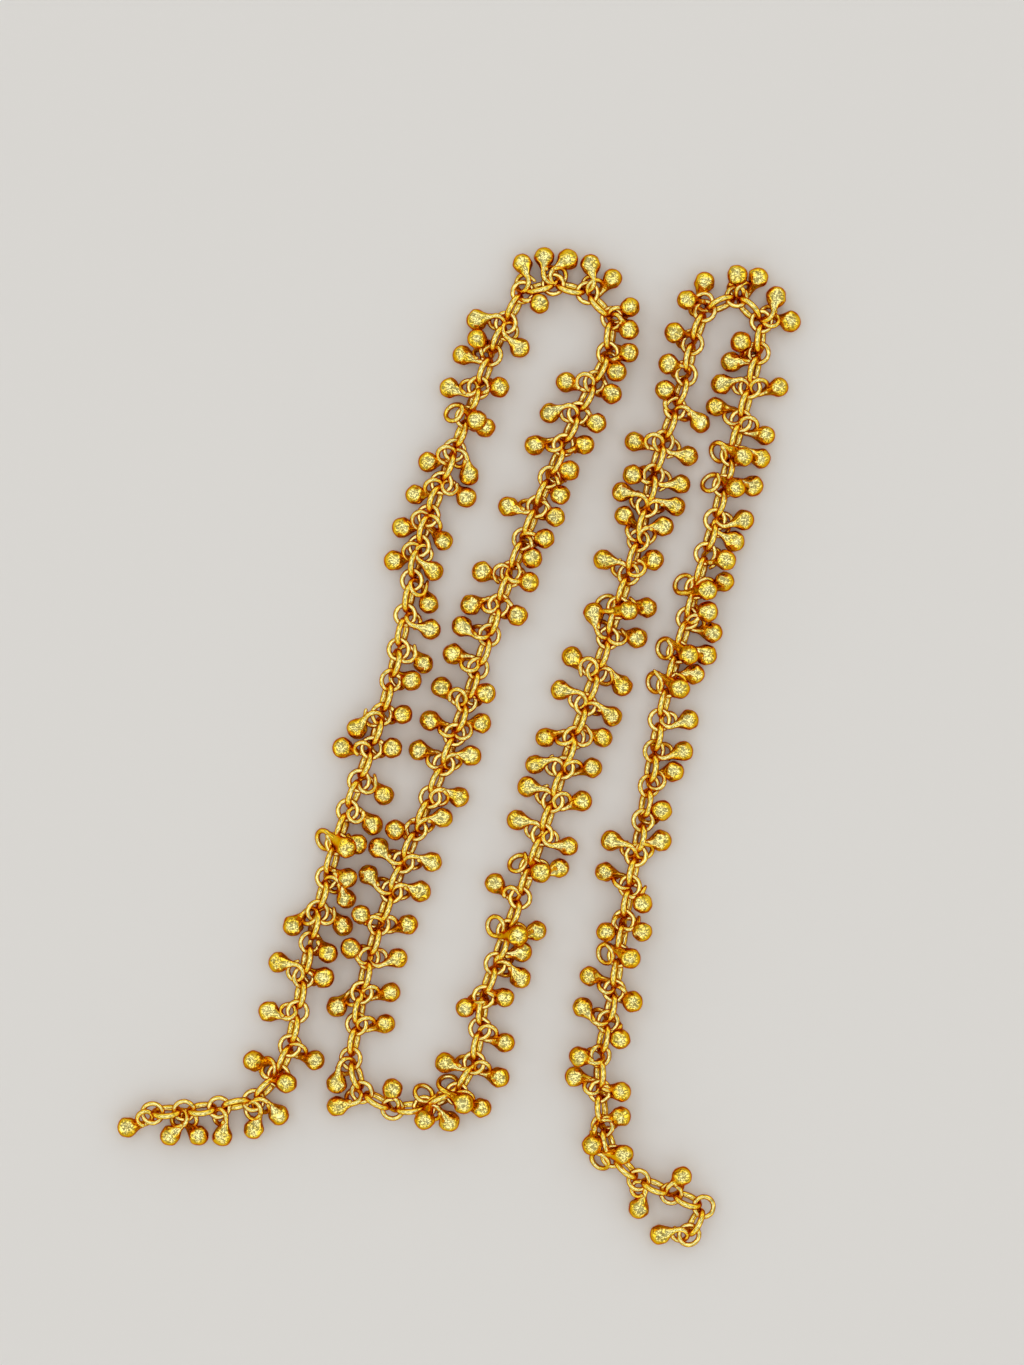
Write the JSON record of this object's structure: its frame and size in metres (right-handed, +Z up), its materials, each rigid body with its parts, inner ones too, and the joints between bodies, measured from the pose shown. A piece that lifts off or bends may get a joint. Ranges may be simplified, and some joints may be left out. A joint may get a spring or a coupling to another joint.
{
  "type": "ankle bell chain",
  "caption": "Gold-coloured chain of linked wire rings hung with small ball bells on wire loops, laid to and fro on a table.",
  "frame": {"origin": "on the table under the middle of the laid-out chain", "axes": "+Y along the runs of the chain, +X across them to the right, +Z up from the table"},
  "size_m": [0.1704, 0.2496, 0.009],
  "materials": {
    "gold": "polished"
  },
  "bodies": {
    "chain_stretch_01": {"chain_stretch_01": "gold"},
    "chain_stretch_02": {"chain_stretch_02": "gold"},
    "chain_stretch_03": {"chain_stretch_03": "gold"},
    "chain_stretch_04": {"chain_stretch_04": "gold"},
    "chain_stretch_05": {"chain_stretch_05": "gold"},
    "chain_stretch_06": {"chain_stretch_06": "gold"},
    "chain_stretch_07": {"chain_stretch_07": "gold"},
    "chain_stretch_08": {"chain_stretch_08": "gold"},
    "chain_stretch_09": {"chain_stretch_09": "gold"},
    "chain_stretch_10": {"chain_stretch_10": "gold"},
    "chain_stretch_11": {"chain_stretch_11": "gold"},
    "chain_stretch_12": {"chain_stretch_12": "gold"},
    "chain_stretch_13": {"chain_stretch_13": "gold"},
    "chain_stretch_14": {"chain_stretch_14": "gold"},
    "chain_stretch_15": {"chain_stretch_15": "gold"},
    "chain_stretch_16": {"chain_stretch_16": "gold"},
    "chain_stretch_17": {"chain_stretch_17": "gold"},
    "chain_stretch_18": {"chain_stretch_18": "gold"},
    "chain_stretch_19": {"chain_stretch_19": "gold"},
    "chain_stretch_20": {"chain_stretch_20": "gold"},
    "chain_stretch_21": {"chain_stretch_21": "gold"},
    "chain_stretch_22": {"chain_stretch_22": "gold"},
    "chain_stretch_23": {"chain_stretch_23": "gold"},
    "chain_stretch_24": {"chain_stretch_24": "gold"},
    "chain_stretch_25": {"chain_stretch_25": "gold"},
    "chain_stretch_26": {"chain_stretch_26": "gold"},
    "chain_stretch_27": {"chain_stretch_27": "gold"},
    "chain_stretch_28": {"chain_stretch_28": "gold"},
    "end_ring_left": {"end_ring_left": "gold"},
    "end_ring_right": {"end_ring_right": "gold"},
    "bell_01": {"bell_01": "gold"},
    "bell_02": {"bell_02": "gold"},
    "bell_03": {"bell_03": "gold"},
    "bell_04": {"bell_04": "gold"},
    "bell_05": {"bell_05": "gold"},
    "bell_06": {"bell_06": "gold"},
    "bell_07": {"bell_07": "gold"},
    "bell_08": {"bell_08": "gold"},
    "bell_09": {"bell_09": "gold"},
    "bell_10": {"bell_10": "gold"},
    "bell_11": {"bell_11": "gold"},
    "bell_12": {"bell_12": "gold"},
    "bell_13": {"bell_13": "gold"},
    "bell_14": {"bell_14": "gold"},
    "bell_15": {"bell_15": "gold"},
    "bell_16": {"bell_16": "gold"},
    "bell_17": {"bell_17": "gold"},
    "bell_18": {"bell_18": "gold"},
    "bell_19": {"bell_19": "gold"},
    "bell_20": {"bell_20": "gold"},
    "bell_21": {"bell_21": "gold"},
    "bell_22": {"bell_22": "gold"},
    "bell_23": {"bell_23": "gold"},
    "bell_24": {"bell_24": "gold"},
    "bell_25": {"bell_25": "gold"},
    "bell_26": {"bell_26": "gold"},
    "bell_27": {"bell_27": "gold"},
    "bell_28": {"bell_28": "gold"},
    "bell_29": {"bell_29": "gold"},
    "bell_30": {"bell_30": "gold"}
  },
  "joints": [
    {"name": "chain_stretch_01_lift", "type": "hinge", "parent": "chain_stretch_02", "child": "chain_stretch_01", "pos_m": [-0.04341, -0.07724, 0.00304], "axis": [-0.931, 0.365, 0], "range_deg": [0, 14]},
    {"name": "chain_stretch_02_lift", "type": "hinge", "parent": "chain_stretch_03", "child": "chain_stretch_02", "pos_m": [-0.03608, -0.04377, 0.00304], "axis": [-0.9722, 0.2343, 0], "range_deg": [0, 14]},
    {"name": "chain_stretch_03_lift", "type": "hinge", "parent": "chain_stretch_04", "child": "chain_stretch_03", "pos_m": [-0.02615, -0.01095, 0.00304], "axis": [-0.9341, 0.357, 0], "range_deg": [0, 14]},
    {"name": "chain_stretch_04_lift", "type": "hinge", "parent": "chain_stretch_05", "child": "chain_stretch_04", "pos_m": [-0.01588, 0.02174, 0.00304], "axis": [-0.9727, 0.2322, 0], "range_deg": [0, 14]},
    {"name": "chain_stretch_05_lift", "type": "hinge", "parent": "chain_stretch_06", "child": "chain_stretch_05", "pos_m": [-0.00853, 0.05522, 0.00304], "axis": [-0.9533, 0.3019, 0], "range_deg": [0, 14]},
    {"name": "chain_stretch_06_lift", "type": "hinge", "parent": "chain_stretch_07", "child": "chain_stretch_06", "pos_m": [0.00373, 0.08726, 0.00304], "axis": [-0.9336, 0.3582, 0], "range_deg": [0, 14]},
    {"name": "chain_stretch_07_lift", "type": "hinge", "parent": "chain_stretch_08", "child": "chain_stretch_07", "pos_m": [0.02085, 0.11493, 0.00304], "axis": [-0.2459, 0.9693, 0], "range_deg": [0, 14]},
    {"name": "chain_stretch_08_turn", "type": "hinge", "parent": "chain_stretch_09", "child": "chain_stretch_08", "pos_m": [0.03485, 0.09358, 0.00304], "axis": [0.3476, 0.9377, 0], "range_deg": [0, 6.5]},
    {"name": "chain_stretch_09_turn", "type": "hinge", "parent": "chain_stretch_10", "child": "chain_stretch_09", "pos_m": [0.0204, 0.06248, 0.00304], "axis": [0.3476, 0.9377, 0], "range_deg": [0, 6.5]},
    {"name": "chain_stretch_10_turn", "type": "hinge", "parent": "chain_stretch_11", "child": "chain_stretch_10", "pos_m": [0.00824, 0.03041, 0.00304], "axis": [0.3476, 0.9377, 0], "range_deg": [0, 6.5]},
    {"name": "chain_stretch_11_turn", "type": "hinge", "parent": "chain_stretch_12", "child": "chain_stretch_11", "pos_m": [-0.00308, -0.00197, 0.00304], "axis": [0.3476, 0.9377, 0], "range_deg": [0, 6.5]},
    {"name": "chain_stretch_12_turn", "type": "hinge", "parent": "chain_stretch_13", "child": "chain_stretch_12", "pos_m": [-0.01604, -0.03374, 0.00304], "axis": [0.3476, 0.9377, 0], "range_deg": [0, 6.5]},
    {"name": "chain_stretch_13_turn", "type": "hinge", "parent": "chain_stretch_14", "child": "chain_stretch_13", "pos_m": [-0.02532, -0.06666, 0.00304], "axis": [0.3476, 0.9377, 0], "range_deg": [0, 6.5]},
    {"name": "chain_stretch_15_lift", "type": "hinge", "parent": "chain_stretch_14", "child": "chain_stretch_15", "pos_m": [-0.01147, -0.09026, 0.00304], "axis": [0.0482, -0.9988, 0], "range_deg": [0, 14]},
    {"name": "chain_stretch_16_turn", "type": "hinge", "parent": "chain_stretch_15", "child": "chain_stretch_16", "pos_m": [0.00569, -0.06515, 0.00304], "axis": [-0.3042, -0.9526, 0], "range_deg": [0, 6.5]},
    {"name": "chain_stretch_17_turn", "type": "hinge", "parent": "chain_stretch_16", "child": "chain_stretch_17", "pos_m": [0.01686, -0.03279, 0.00304], "axis": [-0.3042, -0.9526, 0], "range_deg": [0, 6.5]},
    {"name": "chain_stretch_18_turn", "type": "hinge", "parent": "chain_stretch_17", "child": "chain_stretch_18", "pos_m": [0.02771, -0.00024, 0.00304], "axis": [-0.3042, -0.9526, 0], "range_deg": [0, 6.5]},
    {"name": "chain_stretch_19_turn", "type": "hinge", "parent": "chain_stretch_18", "child": "chain_stretch_19", "pos_m": [0.03876, 0.03224, 0.00304], "axis": [-0.3042, -0.9526, 0], "range_deg": [0, 6.5]},
    {"name": "chain_stretch_20_turn", "type": "hinge", "parent": "chain_stretch_19", "child": "chain_stretch_20", "pos_m": [0.04787, 0.06529, 0.00304], "axis": [-0.3042, -0.9526, 0], "range_deg": [0, 6.5]},
    {"name": "chain_stretch_21_turn", "type": "hinge", "parent": "chain_stretch_20", "child": "chain_stretch_21", "pos_m": [0.05763, 0.09813, 0.00304], "axis": [-0.3042, -0.9526, 0], "range_deg": [0, 6.5]},
    {"name": "chain_stretch_22_lift", "type": "hinge", "parent": "chain_stretch_21", "child": "chain_stretch_22", "pos_m": [0.07498, 0.10105, 0.00304], "axis": [-0.9949, 0.1012, 0], "range_deg": [0, 14]},
    {"name": "chain_stretch_23_lift", "type": "hinge", "parent": "chain_stretch_22", "child": "chain_stretch_23", "pos_m": [0.06677, 0.06777, 0.00304], "axis": [-0.9697, 0.2444, 0], "range_deg": [0, 14]},
    {"name": "chain_stretch_24_lift", "type": "hinge", "parent": "chain_stretch_23", "child": "chain_stretch_24", "pos_m": [0.05769, 0.03468, 0.00304], "axis": [-0.9622, 0.2723, 0], "range_deg": [0, 14]},
    {"name": "chain_stretch_25_lift", "type": "hinge", "parent": "chain_stretch_24", "child": "chain_stretch_25", "pos_m": [0.04912, 0.00149, 0.00304], "axis": [-0.9841, 0.1778, 0], "range_deg": [0, 14]},
    {"name": "chain_stretch_26_lift", "type": "hinge", "parent": "chain_stretch_25", "child": "chain_stretch_26", "pos_m": [0.04309, -0.03228, 0.00304], "axis": [-0.9803, 0.1974, 0], "range_deg": [0, 14]},
    {"name": "chain_stretch_27_lift", "type": "hinge", "parent": "chain_stretch_26", "child": "chain_stretch_27", "pos_m": [0.03754, -0.06613, 0.00304], "axis": [-0.9776, 0.2106, 0], "range_deg": [0, 14]},
    {"name": "chain_stretch_28_lift", "type": "hinge", "parent": "chain_stretch_27", "child": "chain_stretch_28", "pos_m": [0.03742, -0.09985, 0.00304], "axis": [-0.9464, -0.3229, 0], "range_deg": [0, 14]},
    {"name": "end_ring_left_lift", "type": "hinge", "parent": "chain_stretch_01", "child": "end_ring_left", "pos_m": [-0.07414, -0.09139, 0.00304], "axis": [-0.067, 0.9978, 0], "range_deg": [0, 20]},
    {"name": "end_ring_right_lift", "type": "hinge", "parent": "chain_stretch_28", "child": "end_ring_right", "pos_m": [0.05854, -0.11969, 0.00304], "axis": [-0.884, 0.4674, 0], "range_deg": [0, 20]},
    {"name": "bell_01_swing", "type": "hinge", "parent": "chain_stretch_01", "child": "bell_01", "pos_m": [-0.05983, -0.09284, 0.00304], "axis": [-0.9945, -0.1045, 0], "range_deg": [0, 75]},
    {"name": "bell_02_swing", "type": "hinge", "parent": "chain_stretch_02", "child": "bell_02", "pos_m": [-0.04323, -0.06618, 0.00304], "axis": [0, 1, 0], "range_deg": [0, 75]},
    {"name": "bell_03_swing", "type": "hinge", "parent": "chain_stretch_03", "child": "bell_03", "pos_m": [-0.02574, -0.01722, 0.00304], "axis": [-0.5, -0.866, 0], "range_deg": [0, 75]},
    {"name": "bell_04_swing", "type": "hinge", "parent": "chain_stretch_04", "child": "bell_04", "pos_m": [-0.02469, -0.00027, 0.00304], "axis": [0, 1, 0], "range_deg": [0, 75]},
    {"name": "bell_05_swing", "type": "hinge", "parent": "chain_stretch_05", "child": "bell_05", "pos_m": [-0.0112, 0.0316, 0.00304], "axis": [-0.5, -0.866, 0], "range_deg": [0, 75]},
    {"name": "bell_06_swing", "type": "hinge", "parent": "chain_stretch_06", "child": "bell_06", "pos_m": [-0.00227, 0.06462, 0.00304], "axis": [-0.5, -0.866, 0], "range_deg": [0, 75]},
    {"name": "bell_07_swing", "type": "hinge", "parent": "chain_stretch_07", "child": "bell_07", "pos_m": [0.00882, 0.10623, 0.00304], "axis": [0.1045, 0.9945, 0], "range_deg": [0, 75]},
    {"name": "bell_08_swing", "type": "hinge", "parent": "chain_stretch_08", "child": "bell_08", "pos_m": [0.03222, 0.11609, 0.00304], "axis": [0.9945, -0.1045, 0], "range_deg": [0, 75]},
    {"name": "bell_09_swing", "type": "hinge", "parent": "chain_stretch_09", "child": "bell_09", "pos_m": [0.02334, 0.0754, 0.00304], "axis": [0, 1, 0], "range_deg": [0, 75]},
    {"name": "bell_10_swing", "type": "hinge", "parent": "chain_stretch_10", "child": "bell_10", "pos_m": [0.00726, 0.03543, 0.00304], "axis": [0, 1, 0], "range_deg": [0, 75]},
    {"name": "bell_11_swing", "type": "hinge", "parent": "chain_stretch_11", "child": "bell_11", "pos_m": [-0.00351, 0.0043, 0.00304], "axis": [0.5, 0.866, 0], "range_deg": [0, 75]},
    {"name": "bell_12_swing", "type": "hinge", "parent": "chain_stretch_12", "child": "bell_12", "pos_m": [-0.01637, -0.0275, 0.00304], "axis": [0.5, 0.866, 0], "range_deg": [0, 75]},
    {"name": "bell_13_swing", "type": "hinge", "parent": "chain_stretch_13", "child": "bell_13", "pos_m": [-0.02184, -0.06144, 0.00304], "axis": [0, -1, 0], "range_deg": [0, 75]},
    {"name": "bell_14_swing", "type": "hinge", "parent": "chain_stretch_14", "child": "bell_14", "pos_m": [-0.02677, -0.08765, 0.00304], "axis": [-0.5, 0.866, 0], "range_deg": [0, 75]},
    {"name": "bell_15_swing", "type": "hinge", "parent": "chain_stretch_15", "child": "bell_15", "pos_m": [0.00593, -0.0804, 0.00304], "axis": [-0.5, -0.866, 0], "range_deg": [0, 75]},
    {"name": "bell_16_swing", "type": "hinge", "parent": "chain_stretch_16", "child": "bell_16", "pos_m": [0.01277, -0.03644, 0.00304], "axis": [0.5, 0.866, 0], "range_deg": [0, 75]},
    {"name": "bell_17_swing", "type": "hinge", "parent": "chain_stretch_17", "child": "bell_17", "pos_m": [0.02301, -0.02305, 0.00304], "axis": [-0.4067, -0.9135, 0], "range_deg": [0, 75]},
    {"name": "bell_18_swing", "type": "hinge", "parent": "chain_stretch_18", "child": "bell_18", "pos_m": [0.03392, 0.00948, 0.00304], "axis": [-0.4067, -0.9135, 0], "range_deg": [0, 75]},
    {"name": "bell_19_swing", "type": "hinge", "parent": "chain_stretch_19", "child": "bell_19", "pos_m": [0.04944, 0.06011, 0.00304], "axis": [0, -1, 0], "range_deg": [0, 75]},
    {"name": "bell_20_swing", "type": "hinge", "parent": "chain_stretch_20", "child": "bell_20", "pos_m": [0.05621, 0.08325, 0.00304], "axis": [-0.5, -0.866, 0], "range_deg": [0, 75]},
    {"name": "bell_21_swing", "type": "hinge", "parent": "chain_stretch_21", "child": "bell_21", "pos_m": [0.07817, 0.10631, 0.00304], "axis": [0, -1, 0], "range_deg": [0, 75]},
    {"name": "bell_22_swing", "type": "hinge", "parent": "chain_stretch_22", "child": "bell_22", "pos_m": [0.06991, 0.09017, 0.00304], "axis": [0.1045, 0.9945, 0], "range_deg": [0, 75]},
    {"name": "bell_23_swing", "type": "hinge", "parent": "chain_stretch_23", "child": "bell_23", "pos_m": [0.06653, 0.0567, 0.00304], "axis": [0, -1, 0], "range_deg": [0, 75]},
    {"name": "bell_24_swing", "type": "hinge", "parent": "chain_stretch_24", "child": "bell_24", "pos_m": [0.05271, 0.00669, 0.00304], "axis": [0, -1, 0], "range_deg": [0, 75]},
    {"name": "bell_25_swing", "type": "hinge", "parent": "chain_stretch_25", "child": "bell_25", "pos_m": [0.04184, -0.02577, 0.00304], "axis": [0.5, 0.866, 0], "range_deg": [0, 75]},
    {"name": "bell_26_swing", "type": "hinge", "parent": "chain_stretch_26", "child": "bell_26", "pos_m": [0.03636, -0.05963, 0.00304], "axis": [0.5, 0.866, 0], "range_deg": [0, 75]},
    {"name": "bell_27_swing", "type": "hinge", "parent": "chain_stretch_27", "child": "bell_27", "pos_m": [0.03275, -0.08476, 0.00304], "axis": [0.5, 0.866, 0], "range_deg": [0, 75]},
    {"name": "bell_28_swing", "type": "hinge", "parent": "chain_stretch_28", "child": "bell_28", "pos_m": [0.04477, -0.11094, 0.00304], "axis": [-1, 0, 0], "range_deg": [0, 75]},
    {"name": "bell_29_swing", "type": "hinge", "parent": "end_ring_left", "child": "bell_29", "pos_m": [-0.07908, -0.09289, 0.00304], "axis": [-0.5, 0.866, 0], "range_deg": [0, 30]},
    {"name": "bell_30_swing", "type": "hinge", "parent": "end_ring_right", "child": "bell_30", "pos_m": [0.05465, -0.12203, 0.00304], "axis": [0, 1, 0], "range_deg": [0, 30]}
  ]
}
